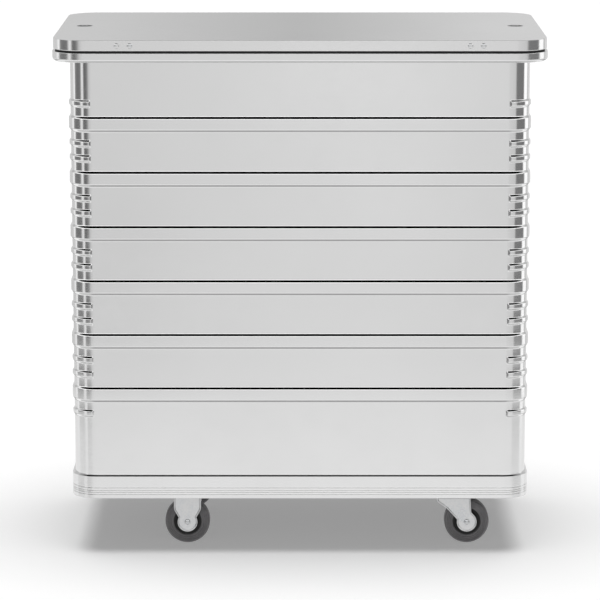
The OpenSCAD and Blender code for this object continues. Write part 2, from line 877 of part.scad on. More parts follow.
module swivel_plate_rear() { color("silver") swivel_plate(1); }
module swivel_kingpin_front() { color("darkgray") swivel_kingpin(-1); }
module swivel_kingpin_rear() { color("darkgray") swivel_kingpin(1); }
module swivel_balls_front() { color("lightgray") swivel_balls(-1); }
module swivel_balls_rear() { color("lightgray") swivel_balls(1); }
module swivel_fork_front() { color("silver") swivel_fork(-1); }
module swivel_fork_rear() { color("silver") swivel_fork(1); }
module swivel_bush_front() { color("darkgray") wheel_place(swivel_wheel_x, -1) bush(); }
module swivel_bush_rear() { color("darkgray") wheel_place(swivel_wheel_x, 1) bush(); }
module swivel_axle_front() { color("darkgray") wheel_place(swivel_wheel_x, -1) axle(); }
module swivel_axle_rear() { color("darkgray") wheel_place(swivel_wheel_x, 1) axle(); }
module swivel_nut_front() { color("darkgray") wheel_place(swivel_wheel_x, -1) axle_nut(); }
module swivel_nut_rear() { color("darkgray") wheel_place(swivel_wheel_x, 1) axle_nut(); }
module swivel_core_front() { color("#202020") wheel_place(swivel_wheel_x, -1) core(); }
module swivel_core_rear() { color("#202020") wheel_place(swivel_wheel_x, 1) core(); }
module swivel_tyre_front() { color("dimgray") wheel_place(swivel_wheel_x, -1) tyre(); }
module swivel_tyre_rear() { color("dimgray") wheel_place(swivel_wheel_x, 1) tyre(); }

wall_front();
wall_rear();
seam_strap_left();
seam_strap_right();
seam_rivets();
floor_panel();
floor_rivets();
base_rail();
bearer_left();
bearer_right();
bearer_rivets();
top_frame();
top_frame_rivets();
strike_left();
strike_right();
lid_panel();
lid_stiffener_left();
lid_stiffener_right();
lid_seal();
lid_rivets();
latch_cup_left();
latch_cup_right();
latch_plug_left();
latch_plug_right();
latch_cam_left();
latch_cam_right();
latch_screw_left();
latch_screw_right();
caster_bolts();
caster_nuts();
fixed_fork_front();
fixed_fork_rear();
fixed_bush_front();
fixed_bush_rear();
fixed_axle_front();
fixed_axle_rear();
fixed_nut_front();
fixed_nut_rear();
fixed_core_front();
fixed_core_rear();
fixed_tyre_front();
fixed_tyre_rear();
swivel_plate_front();
swivel_plate_rear();
swivel_kingpin_front();
swivel_kingpin_rear();
swivel_balls_front();
swivel_balls_rear();
swivel_fork_front();
swivel_fork_rear();
swivel_bush_front();
swivel_bush_rear();
swivel_axle_front();
swivel_axle_rear();
swivel_nut_front();
swivel_nut_rear();
swivel_core_front();
swivel_core_rear();
swivel_tyre_front();
swivel_tyre_rear();
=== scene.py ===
"""Looks for a rolling aluminium chest: beaded walls, a grooved base rail, a flat lid and four casters.

Lengths are millimetres until Shape.build() turns them into metres.
"""
import json
import math

import bpy
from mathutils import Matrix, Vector
from mathutils.geometry import tessellate_polygon


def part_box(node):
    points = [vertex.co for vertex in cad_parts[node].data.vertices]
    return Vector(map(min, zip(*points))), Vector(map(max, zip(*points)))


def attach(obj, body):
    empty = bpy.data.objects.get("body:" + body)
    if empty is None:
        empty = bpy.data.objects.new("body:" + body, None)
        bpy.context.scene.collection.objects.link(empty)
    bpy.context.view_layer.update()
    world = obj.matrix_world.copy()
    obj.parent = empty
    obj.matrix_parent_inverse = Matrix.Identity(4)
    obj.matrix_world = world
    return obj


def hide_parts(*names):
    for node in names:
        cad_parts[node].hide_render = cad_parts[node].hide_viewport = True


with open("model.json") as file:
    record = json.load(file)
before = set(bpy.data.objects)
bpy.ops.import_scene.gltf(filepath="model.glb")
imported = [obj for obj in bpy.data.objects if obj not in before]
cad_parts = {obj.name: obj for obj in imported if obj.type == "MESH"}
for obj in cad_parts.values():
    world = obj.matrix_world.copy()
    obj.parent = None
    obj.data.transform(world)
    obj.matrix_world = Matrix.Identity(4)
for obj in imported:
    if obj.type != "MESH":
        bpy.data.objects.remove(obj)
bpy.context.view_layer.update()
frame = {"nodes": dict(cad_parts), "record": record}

MM = 0.001
record = frame["record"]
slot_of_node = {part["node"]: part["material_slot"] for part in record["subparts"]}


def span(node):
    """Lowest and highest corner of a CAD node, in millimetres."""
    return tuple(Vector(corner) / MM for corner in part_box(node))


# ---- Camera ----

CAMERA_PLACE = (0, -7, 1.883)
CAMERA_PITCH = -10.99
CAMERA_LENS = 187.9

camera = bpy.data.objects.new("camera", bpy.data.cameras.new("camera"))
camera.location = CAMERA_PLACE
camera.rotation_euler = (math.radians(90 + CAMERA_PITCH), 0, 0)
camera.data.lens = CAMERA_LENS
camera.data.sensor_width = 36
camera.data.clip_end = 200
bpy.context.collection.objects.link(camera)
bpy.context.scene.camera = camera


# ---- Nodes ----

def add(tree, kind, inputs=None, **settings):
    """Adds a node. An input is a value, or a socket to link from."""
    node = tree.nodes.new("ShaderNode" + kind)
    for key, value in settings.items():
        setattr(node, key, value)
    for key, value in (inputs or {}).items():
        if isinstance(value, bpy.types.NodeSocket):
            tree.links.new(value, node.inputs[key])
        else:
            node.inputs[key].default_value = value
    return node


def math_node(tree, operation, a, b=0.0):
    return add(tree, "Math", {0: a, 1: b}, operation=operation).outputs[0]


def mix(tree, share, a, b, blend_type="MIX"):
    """Colour a with a share of colour b."""
    return add(tree, "Mix", {0: share, 6: a, 7: b}, data_type="RGBA", blend_type=blend_type).outputs[2]


def ramp(tree, factor, stops, interpolation="EASE"):
    """A colour ramp of grey or RGB stops: [(place, grey or (r, g, b)), ...]."""
    node = add(tree, "ValToRGB", {0: factor})
    node.color_ramp.interpolation = interpolation
    elements = node.color_ramp.elements
    elements[0].position, elements[-1].position = stops[0][0], stops[-1][0]
    for place, _ in stops[1:-1]:
        elements.new(place)
    for element, (_, tone) in zip(elements, stops):
        rgb = (tone, tone, tone) if isinstance(tone, (int, float)) else tone
        element.color = (*rgb, 1)
    return node.outputs["Color"]


def remap(tree, value, low, high, from_low=0.0, from_high=1.0):
    """Moves a value from one range to another, and holds it at the ends."""
    return add(tree, "MapRange", {0: value, 1: from_low, 2: from_high, 3: low, 4: high}).outputs[0]


def noise(tree, coords, scale, detail=3.0, roughness=0.5, stretch=(1, 1, 1)):
    """Noise over the object. A stretch above 1 makes the spots shorter along that axis."""
    if stretch != (1, 1, 1):
        coords = add(tree, "Mapping", {"Vector": coords, "Scale": stretch}).outputs[0]
    return add(tree, "TexNoise", {"Vector": coords, "Scale": scale, "Detail": detail,
                                  "Roughness": roughness}).outputs[0]


def bump(tree, height, strength, distance, below=None):
    """A normal from a height. below is the normal that it adds to."""
    inputs = {"Height": height, "Strength": strength, "Distance": distance}
    if below is not None:
        inputs["Normal"] = below
    return add(tree, "Bump", inputs).outputs[0]


def start_material(name):
    material = bpy.data.materials.new(name)
    material.use_nodes = True
    material.node_tree.nodes.clear()
    coords = add(material.node_tree, "TexCoord").outputs["Object"]
    return material, material.node_tree, coords


def finish_material(tree, inputs):
    shader = add(tree, "BsdfPrincipled", inputs)
    add(tree, "OutputMaterial", {"Surface": shader.outputs[0]})


def sheet_metal(name, tone, rough, cloud, grain=(1, 1, 14), wave=0.0):
    """Rolled or drawn metal: a soft cloudy tone, a fine directional grain, smudges and light scratches.

    cloud is how far the tone strays, and wave is how much the sheet's flat parts bulge.
    """
    material, tree, coords = start_material(name)
    clouds = noise(tree, coords, 3.1, detail=4)
    colour = ramp(tree, clouds, [(0.3, tone - cloud), (0.7, min(1, tone + cloud))])
    streaks = noise(tree, coords, 55, detail=6, roughness=0.7, stretch=grain)
    smudges = noise(tree, coords, 19, detail=3)
    roughness = math_node(tree, "ADD", remap(tree, streaks, rough - 0.035, rough + 0.035, 0.25, 0.75),
                          remap(tree, smudges, 0.0, 0.025, 0.5, 0.72))
    long_scratches = noise(tree, coords, 120, detail=2, stretch=(0.4, 0.4, 30))
    normal = bump(tree, streaks, 0.035, 0.0004)
    normal = bump(tree, ramp(tree, long_scratches, [(0.66, 0.0), (0.74, 1.0)]), 0.03, 0.0003, normal)
    if wave:
        normal = bump(tree, noise(tree, coords, 2.4, detail=1), wave, 0.01, normal)
    finish_material(tree, {"Base Color": colour, "Roughness": roughness, "Metallic": 1.0, "Normal": normal})
    return material


def zinc_plate(name, tone, rough):
    """Zinc-plated pressed steel: faint spangle, fine pitting and darker patches."""
    material, tree, coords = start_material(name)
    spangle = add(tree, "TexVoronoi", {"Vector": coords, "Scale": 210.0}, feature="F1")
    patches = noise(tree, coords, 34, detail=5, roughness=0.6)
    blend = math_node(tree, "ADD", math_node(tree, "MULTIPLY", spangle.outputs["Distance"], 0.25), patches)
    dull = (tone * 0.86, tone * 0.88, tone * 0.9)
    colour = ramp(tree, blend, [(0.35, dull), (0.8, tone)])
    fine = noise(tree, coords, 900, detail=2)
    normal = bump(tree, fine, 0.12, 0.0002)
    finish_material(tree, {"Base Color": colour, "Metallic": 1.0, "Normal": normal,
                           "Roughness": remap(tree, patches, rough - 0.06, rough + 0.08, 0.3, 0.7)})
    return material


def moulded(name, low, high, rough, pebble):
    """Moulded rubber or plastic: a fine pebbled skin and soft patches of dust, from tone low to tone high."""
    material, tree, coords = start_material(name)
    patches = noise(tree, coords, 42, detail=5, roughness=0.65)
    colour = ramp(tree, patches, [(0.32, low), (0.7, high)])
    skin = noise(tree, coords, 1500, detail=2)
    mould_lines = add(tree, "TexWave", {"Vector": coords, "Scale": 130.0, "Distortion": 1.2, "Detail": 2.0},
                      wave_type="RINGS", rings_direction="Y").outputs[0]
    normal = bump(tree, skin, pebble, 0.0003)
    normal = bump(tree, mould_lines, pebble * 0.25, 0.0002, normal)
    finish_material(tree, {"Base Color": colour, "Normal": normal,
                           "Roughness": remap(tree, patches, rough - 0.08, rough + 0.1, 0.3, 0.7)})
    return material


# The names are the material slots of the CAD nodes.
looks = {
    "wall_sheet": sheet_metal("wall_sheet", 0.85, 0.12, 0.012, wave=0.005),
    "lid_sheet": sheet_metal("lid_sheet", 0.84, 0.15, 0.015, grain=(1, 14, 4), wave=0.008),
    "frame_extrusion": sheet_metal("frame_extrusion", 0.84, 0.18, 0.015),
    "rail_extrusion": sheet_metal("rail_extrusion", 0.88, 0.16, 0.01),
    "inner_sheet": sheet_metal("inner_sheet", 0.74, 0.28, 0.05, wave=0.02),
    "rivet_alloy": zinc_plate("rivet_alloy", 0.78, 0.24),
    "zinc_steel": zinc_plate("zinc_steel", 0.74, 0.3),
    "bolt_steel": zinc_plate("bolt_steel", 0.66, 0.28),
    "latch_metal": moulded("latch_metal", 0.008, 0.02, 0.34, 0.1),
    "tyre_rubber": moulded("tyre_rubber", (0.19, 0.185, 0.19), (0.25, 0.243, 0.25), 0.62, 0.3),
    "core_plastic": moulded("core_plastic", 0.002, 0.006, 0.5, 0.15),
    "seal_rubber": moulded("seal_rubber", 0.012, 0.03, 0.7, 0.25),
}


# ---- Mesh helpers ----

class Shape:
    """Points with normals, and faces, gathered for one object."""

    def __init__(self):
        self.points, self.normals, self.faces = [], [], []

    def face(self, corners):
        """Adds a face, without doubled corners, turned to face its points' normals."""
        kept = [corner for before, corner in zip([corners[-1]] + corners, corners)
                if (self.points[corner] - self.points[before]).length > 1e-5]
        if len(kept) < 3:
            return
        a, b, c = (self.points[i] for i in kept[:3])
        if (b - a).cross(c - b).dot(sum((self.normals[i] for i in kept), Vector())) < 0:
            kept.reverse()
        self.faces.append(kept)

    def grid(self, rows, close_rows=False, close_columns=False):
        """Adds rows of (point, normal) and the faces between them."""
        first, width = len(self.points), len(rows[0])
        for row in rows:
            for point, normal in row:
                self.points.append(Vector(point))
                self.normals.append(Vector(normal).normalized())
        for i in range(len(rows) if close_rows else len(rows) - 1):
            for j in range(width if close_columns else width - 1):
                a, b = first + i * width, first + (i + 1) % len(rows) * width
                k = (j + 1) % width
                self.face([a + j, a + k, b + k, b + j])

    def fill(self, loops, normal):
        """Adds a flat face with holes: the first loop is its edge and the others are holes."""
        first = len(self.points)
        for loop in loops:
            for point in loop:
                self.points.append(Vector(point))
                self.normals.append(Vector(normal))
        for triangle in tessellate_polygon(loops):
            self.face([first + i for i in triangle])

    def build(self, name, body, *nodes):
        """Makes the object. It takes its material slot from the CAD nodes that it stands for."""
        mesh = bpy.data.meshes.new(name)
        mesh.from_pydata([p * MM for p in self.points], [], self.faces)
        mesh.shade_smooth()
        mesh.normals_split_custom_set_from_vertices([tuple(n) for n in self.normals])
        piece = bpy.data.objects.new(name, mesh)
        bpy.context.collection.objects.link(piece)
        slot = slot_of_node[nodes[0]]
        mesh.materials.append(looks[slot])
        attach(piece, body)
        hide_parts(*nodes)
        return piece


LEAST_FLAT = 0.6


def fillet(corners, radius, steps, closed=True):
    """Rounds the corners of a line in a plane, and returns (a, b, normal a, normal b) for each point.

    A corner is (a, b) or (a, b, radius). The normal points to the right of the direction of travel.
    A radius of a corner's own may take all but LEAST_FLAT of the shorter side, and the common radius
    just under half of it.
    """
    line = []
    for i, corner in enumerate(corners):
        here = Vector(corner[:2])
        if not closed and i in (0, len(corners) - 1):
            other = Vector(corners[1 if i == 0 else i - 1][:2])
            way = (other - here if i == 0 else here - other).normalized()
            line.append((*here, way.y, -way.x))
            continue
        before, after = Vector(corners[i - 1][:2]), Vector(corners[(i + 1) % len(corners)][:2])
        way_in, way_out = here - before, after - here
        turn = math.atan2(way_in.x * way_out.y - way_in.y * way_out.x, way_in.dot(way_out))
        if abs(turn) < 1e-4:
            way = way_in.normalized()
            line.append((*here, way.y, -way.x))
            continue
        shrink = math.tan(abs(turn) / 2)
        room = min(way_in.length, way_out.length)
        if len(corner) > 2:
            r = min(corner[2], max(0.49 * room, room - LEAST_FLAT) / shrink)
        else:
            r = min(radius, 0.49 * room / shrink)
        way = way_in.normalized()
        start = here - way * r * shrink
        left = Vector((-way.y, way.x)) * math.copysign(r, turn)
        for k in range(steps + 1):
            c, s = math.cos(turn * k / steps), math.sin(turn * k / steps)
            spoke = -left
            spoke = Vector((spoke.x * c - spoke.y * s, spoke.x * s + spoke.y * c))
            along = Vector((way.x * c - way.y * s, way.x * s + way.y * c))
            line.append((*(start + left + spoke), along.y, -along.x))
    return line


def rounded_rectangle(half_l, half_w, r, steps):
    """(point, outward normal) round a rounded rectangle, anticlockwise from the right side."""
    line = []
    for quarter, (sx, sy) in enumerate(((1, 1), (-1, 1), (-1, -1), (1, -1))):
        for k in range(steps + 1):
            angle = (quarter + k / steps) * math.pi / 2
            way = Vector((math.cos(angle), math.sin(angle)))
            line.append((Vector((sx * (half_l - r), sy * (half_w - r))) + way * r, way))
    return line


def ring_row(outline, out, z, normal_out, normal_z):
    """An outline moved outwards and up to a height, as a row for Shape.grid()."""
    return [(Vector((*(point + way * out), z)), Vector((*(way * normal_out), normal_z)))
            for point, way in outline]


def turned(shape, profile, centre, axis, steps=40, close=False):
    """Adds a body of revolution. The profile's points are (radius, height along the axis, their normals)."""
    axis = Vector(axis).normalized()
    side = axis.orthogonal().normalized()
    other = axis.cross(side)
    rows = []
    for radius, height, normal_r, normal_h in profile:
        row = []
        for k in range(steps):
            spoke = side * math.cos(2 * math.pi * k / steps) + other * math.sin(2 * math.pi * k / steps)
            row.append((Vector(centre) + spoke * radius + axis * height, spoke * normal_r + axis * normal_h))
        rows.append(row)
    shape.grid(rows, close_rows=close, close_columns=True)


# ---- Walls ----

SHEET = 1.5
BOX_HALF_L, BOX_HALF_W, CORNER_R = 500, 265, 48
SEAM_GAP = 0.2

# Long beads. A slope is the height over which a bead rises.
BEAD_OUT, BEAD_H, BEAD_PITCH, SLOPE = 4, 29, 120, 8.2
BEAD_TOPS = [377 + BEAD_PITCH * i for i in range(6)]

# Short beads on the corners. SHORT_END is the length over which a bead's end falls,
# SHORT_TRIM the angle at which it stops before the corner does, and SHORT_REACH half its length.
SHORT_OUT, SHORT_H, SHORT_SLOPE, SHORT_END, SHORT_TRIM = 3.5, 13, 6, 5, 5
SHORT_REACH = math.radians(45 - SHORT_TRIM) * CORNER_R

# Their places, as shares of the flat between two long beads: down from the upper bead, up from the lower one
SHORT_FLAT = BEAD_PITCH - BEAD_H
SHORT_DOWN, SHORT_UP = 0.31, 0.33
SHORT_MIDDLES = ([top - BEAD_H - SHORT_DOWN * SHORT_FLAT for top in BEAD_TOPS]
                 + [top + SHORT_UP * SHORT_FLAT for top in BEAD_TOPS])

# Each slope is an S with this share of it bent at either end. The mesh has a row at each of the places.
BEND_SHARE = 0.35
SLOPE_PLACES = (0, 0.09, 0.18, 0.27, 0.35, 0.65, 0.73, 0.82, 0.91, 1)
SHORT_ROWS = 7
CORNER_COLUMNS, END_COLUMNS, HALF_FRONT_COLUMNS = 26, 4, 5

wall_low, wall_high = (corner.z for corner in span("wall_front"))


def rise(t):
    """A slope from 0 to 1 with a straight middle and rounded ends."""
    t = min(1, max(0, t))
    if t > 0.5:
        return 1 - rise(1 - t)
    if t < BEND_SHARE:
        return t * t / (2 * BEND_SHARE * (1 - BEND_SHARE))
    return (t - BEND_SHARE / 2) / (1 - BEND_SHARE)


def bead_out(z):
    """How far the long beads push the wall out at a height."""
    out = 0
    for top in BEAD_TOPS:
        out += rise((z - (top - BEAD_H)) / SLOPE + 0.5) * rise((top - z) / SLOPE + 0.5)
    return BEAD_OUT * out


def short_across(z):
    """How far the short beads push the corner out at a height, away from their ends."""
    nearest = min(abs(z - middle) for middle in SHORT_MIDDLES)
    return SHORT_OUT * rise((SHORT_H / 2 - nearest) / SHORT_SLOPE + 0.5)


def short_end(along):
    """1 on the short beads and 0 beyond their ends. along is the distance from the corner's middle."""
    return rise((SHORT_REACH - abs(along)) / SHORT_END + 0.5)


def wall_rows():
    """Heights of the mesh's rows."""
    rows = {wall_low, wall_high}
    for top in BEAD_TOPS:
        for edge in (top - BEAD_H, top):
            rows |= {edge + (place - 0.5) * SLOPE for place in SLOPE_PLACES}
    reach = (SHORT_H + SHORT_SLOPE) / 2
    for middle in SHORT_MIDDLES:
        rows |= {middle + reach * k / SHORT_ROWS for k in range(-SHORT_ROWS, SHORT_ROWS + 1)}
    return sorted(z for z in rows if wall_low <= z <= wall_high)


def wall_columns():
    """(point, outward normal, distance from a corner's middle or None) round the front half."""
    columns = []
    for k in range(END_COLUMNS):
        y = -SEAM_GAP / 2 - (BOX_HALF_W - CORNER_R - SEAM_GAP / 2) * k / END_COLUMNS
        columns.append((Vector((-BOX_HALF_L, y)), Vector((-1, 0)), None))
    turns = {math.pi / 2 * k / CORNER_COLUMNS for k in range(CORNER_COLUMNS + 1)}
    for end in (-SHORT_REACH, SHORT_REACH):
        turns |= {math.pi / 4 + (end + (place - 0.5) * SHORT_END) / CORNER_R for place in SLOPE_PLACES}
    for turn in sorted(turns):
        way = Vector((-math.cos(turn), -math.sin(turn)))
        centre = Vector((-BOX_HALF_L + CORNER_R, -BOX_HALF_W + CORNER_R))
        columns.append((centre + way * CORNER_R, way, (turn - math.pi / 4) * CORNER_R))
    for k in range(1, HALF_FRONT_COLUMNS + 1):
        x = (-BOX_HALF_L + CORNER_R) * (1 - k / HALF_FRONT_COLUMNS)
        columns.append((Vector((x, -BOX_HALF_W)), Vector((0, -1)), None))
    mirrored = [(Vector((-point.x, point.y)), Vector((-way.x, way.y)), along)
                for point, way, along in reversed(columns[:-1])]
    return columns + mirrored


def wall(name, side):
    """Half of the walls. side is -1 for the front half and 1 for the rear half.

    The normals come from how far the wall stands out a nudge before and after each point.
    """
    nudge = 0.05
    steps = (-nudge, 0, nudge)
    columns = []
    for point, way, along in wall_columns():
        ends = [0 if along is None else short_end(along + step) for step in steps]
        columns.append((point, way, ends))
    outer, inner = [], []
    for z in wall_rows():
        before, here, after = ((bead_out(z + step), short_across(z + step)) for step in steps)
        outer.append([])
        inner.append([])
        for point, way, ends in columns:
            out = max(here[0], here[1] * ends[1])
            rise_a = max(here[0], here[1] * ends[2]) - max(here[0], here[1] * ends[0])
            rise_z = max(after[0], after[1] * ends[1]) - max(before[0], before[1] * ends[1])
            slope_a, slope_z = rise_a / (2 * nudge), rise_z / (2 * nudge)
            tangent = Vector((-way.y, way.x))
            normal = Vector((*((way - tangent * slope_a) * -side), -slope_z))
            outer[-1].append((Vector((*((point + way * out) * -side), z)), normal))
            inner[-1].append((Vector((*((point + way * (out - SHEET)) * -side), z)), -normal))
    shape = Shape()
    shape.grid(outer)
    shape.grid(inner)
    for i, facing in ((0, -1), (-1, 1)):
        shape.grid([[(point, (0, 0, facing)) for point, _ in rows[i]] for rows in (outer, inner)])
    for j in (0, -1):
        shape.grid([[(row[j][0], (0, -side, 0)) for row in rows] for rows in (outer, inner)])
    shape.build(name, "chest", "wall_front" if side < 0 else "wall_rear")


wall("beaded_wall_front", -1)
wall("beaded_wall_rear", 1)


# ---- Base rail, top frame, lid ----

CORNER_STEPS = 18

rail_low, rail_high = span("base_rail")
RAIL_OUT = rail_high.x - BOX_HALF_L
RAIL_SHELF_IN, RAIL_SHELF_T, RAIL_SKIN, RAIL_LIP, RAIL_CHAMFER = 30, 4, 3, 6, 3
RAIL_GROOVES = (10, 15, 19, 25)
GROOVE_H, GROOVE_D, GROOVE_FLOOR = 2.4, 1.1, 0.4


def base_rail():
    """The rail round the foot of the walls: a grooved skin with a lip at its top and a shelf at its foot."""
    low, high, inner = rail_low.z, rail_high.z, RAIL_OUT - RAIL_SKIN
    section = [(-RAIL_SHELF_IN, low), (RAIL_OUT, low, 1.2)]
    for groove in RAIL_GROOVES:
        z = low + groove
        section += [(RAIL_OUT, z - GROOVE_H / 2), (RAIL_OUT - GROOVE_D, z - GROOVE_FLOOR / 2),
                    (RAIL_OUT - GROOVE_D, z + GROOVE_FLOOR / 2), (RAIL_OUT, z + GROOVE_H / 2)]
    section += [(RAIL_OUT, high - RAIL_CHAMFER, 0.8), (RAIL_OUT - RAIL_CHAMFER, high, 0.5), (0, high),
                (0, high - RAIL_LIP), (inner, high - RAIL_LIP), (inner, low + RAIL_SHELF_T),
                (-RAIL_SHELF_IN, low + RAIL_SHELF_T)]
    outline = rounded_rectangle(BOX_HALF_L, BOX_HALF_W, CORNER_R, 16)
    shape = Shape()
    shape.grid([ring_row(outline, *place) for place in fillet(section, 0.4, 3)], close_rows=True,
               close_columns=True)
    shape.build("grooved_base_rail", "chest", "base_rail")


frame_low, frame_high = span("top_frame")
FRAME_R, FRAME_T, FRAME_CURL, FRAME_H = 70, 2, 8, 21
FRAME_OUT = frame_high.x - BOX_HALF_L
FRAME_LEG = -FRAME_OUT - SHEET


def top_frame():
    """The frame round the mouth. Its inner leg follows the wall, whose corners are tighter than its own."""
    top, low = frame_high.z, frame_high.z - FRAME_H
    section = [(0, low, FRAME_CURL), (-FRAME_CURL, low), (-FRAME_CURL, low + FRAME_T),
               (-FRAME_T, low + FRAME_T, FRAME_CURL - FRAME_T), (-FRAME_T, top - FRAME_T),
               (FRAME_LEG, top - FRAME_T), (FRAME_LEG, frame_low.z), (FRAME_LEG - FRAME_T, frame_low.z),
               (FRAME_LEG - FRAME_T, top, 1.2), (0, top, 1.2)]
    outer = rounded_rectangle(frame_high.x, frame_high.y, FRAME_R, CORNER_STEPS)
    inner = rounded_rectangle(BOX_HALF_L - SHEET, BOX_HALF_W - SHEET, CORNER_R - SHEET, CORNER_STEPS)
    rows = []
    for out, z, normal_out, normal_z in fillet(section, 0.3, 5):
        if out < FRAME_LEG / 2:
            rows.append(ring_row(inner, out - FRAME_LEG, z, normal_out, normal_z))
        else:
            rows.append(ring_row(outer, out, z, normal_out, normal_z))
    shape = Shape()
    shape.grid(rows, close_rows=True, close_columns=True)
    shape.build("curled_top_frame", "chest", "top_frame")


lid_low, lid_high = span("lid_panel")
LID_R, LID_BEND, LID_INNER_BEND, LID_LOWER_BEND, LID_RETURN = 68, 0.9, 0.3, 2.2, 20
LATCH_X, CUP_FACE_R, LID_HOLE_GAP = 482, 17.5, 0.05


def circle(x, y, r, z, steps=40):
    """Points of a level circle."""
    return [Vector((x + r * math.cos(2 * math.pi * k / steps), y + r * math.sin(2 * math.pi * k / steps), z))
            for k in range(steps)]


def lid():
    """The folded lid. Its section runs from the flat part's underside, round the flange, to the flat top."""
    top, low = lid_high.z, lid_low.z
    flat_edge = -LID_RETURN - 1
    section = [(flat_edge, top - SHEET), (-SHEET, top - SHEET, LID_INNER_BEND), (-SHEET, low + SHEET),
               (-LID_RETURN, low + SHEET), (-LID_RETURN, low), (0, low, LID_LOWER_BEND), (0, top, LID_BEND),
               (flat_edge, top)]
    outline = rounded_rectangle(lid_high.x, lid_high.y, LID_R, CORNER_STEPS)
    rows = [ring_row(outline, *place) for place in fillet(section, 0.4, 6, closed=False)]
    shape = Shape()
    shape.grid(rows, close_columns=True)
    for row, z, facing in ((rows[0], top - SHEET, -1), (rows[-1], top, 1)):
        holes = [circle(side * LATCH_X, 0, CUP_FACE_R + LID_HOLE_GAP, z) for side in (-1, 1)]
        shape.fill([[point for point, _ in row]] + holes, (0, 0, facing))
    shape.build("folded_lid", "lid", "lid_panel")


base_rail()
top_frame()
lid()


# ---- Rivets ----

SHANK_R, HEAD_H, HEAD_RIM_H, TAIL_R = 2.4, 2.0, 0.5, 4.5


def solids(node):
    """Lowest and highest corner of each separate solid of a CAD node."""
    mesh = frame["nodes"][node].data
    parent = {}

    def root(key):
        while parent.setdefault(key, key) != key:
            key = parent[key]
        return key

    keys = [tuple(round(c / MM, 2) for c in v.co) for v in mesh.vertices]
    for polygon in mesh.polygons:
        first = root(keys[polygon.vertices[0]])
        for index in polygon.vertices[1:]:
            parent[root(keys[index])] = first
    boxes = {}
    for key in set(keys):
        low, high = boxes.setdefault(root(key), (Vector(key), Vector(key)))
        for axis in range(3):
            low[axis], high[axis] = min(low[axis], key[axis]), max(high[axis], key[axis])
    return [boxes[key] for key in sorted(boxes)]


def dome(r, z):
    """The profile of a full domed head, from its rim to its tip at height z."""
    foot = z - HEAD_H
    points = [(r, foot, 1, 0), (r, foot + HEAD_RIM_H * 0.6, 1, 0.1)]
    for k in range(1, 7):
        across, up = math.cos(math.pi / 2 * k / 6), math.sin(math.pi / 2 * k / 6)
        points.append((r * across ** 0.5, foot + HEAD_RIM_H + (HEAD_H - HEAD_RIM_H) * up,
                       across ** 1.5 * HEAD_H, 0.5 * r * up))
    return points


def rivets(name, body, node):
    """Domed rivets in place of each solid of a CAD node. The larger heads point outwards, or down."""
    shape = Shape()
    for low, high in solids(node):
        size, centre = high - low, (low + high) / 2
        axis = min(range(3), key=lambda i: abs(size[i - 1] - size[i - 2]))
        way = Vector((0, 0, 0))
        way[axis] = 1 if centre[axis] > 0 and axis != 2 else -1
        half, head_r = size[axis] / 2, size[axis - 1] / 2
        for facing, r in ((1, head_r), (-1, min(head_r, TAIL_R))):
            profile = [(SHANK_R, 0, 1, 0), (SHANK_R, half - HEAD_H, 0, -1)] + dome(r, half)
            turned(shape, profile, centre, way * facing, 20)
    shape.build(name, body, node)


rivets("seam_rivet_domes", "chest", "seam_rivets")
rivets("floor_rivet_domes", "chest", "floor_rivets")
rivets("bearer_rivet_domes", "chest", "bearer_rivets")
rivets("frame_rivet_domes", "chest", "top_frame_rivets")
rivets("lid_rivet_domes", "lid", "lid_rivets")


# ---- Latches ----

CUP_BODY_R, CUP_SHOULDER_R, CUP_SHOULDER_T, CUP_BORE_R = 13, 20.5, 2, 8.05
CUP_GROOVE_R, CUP_GROOVE_W, CUP_GROOVE_D, CUP_GROOVE_SLOPE = 9.05, 2.6, 0.5, 0.6
PLUG_R, PLUG_FACE_R, COLLAR_R, COLLAR_T, COLLAR_GAP = 8.0, 6.2, 11, 2.5, 0.3
PLUG_FOOT_R, PLUG_FOOT_UP = 2.5, 3
KEY_HALF, KEY_CORNER_R, KEY_DEPTH = 3.5, 0.7, 5


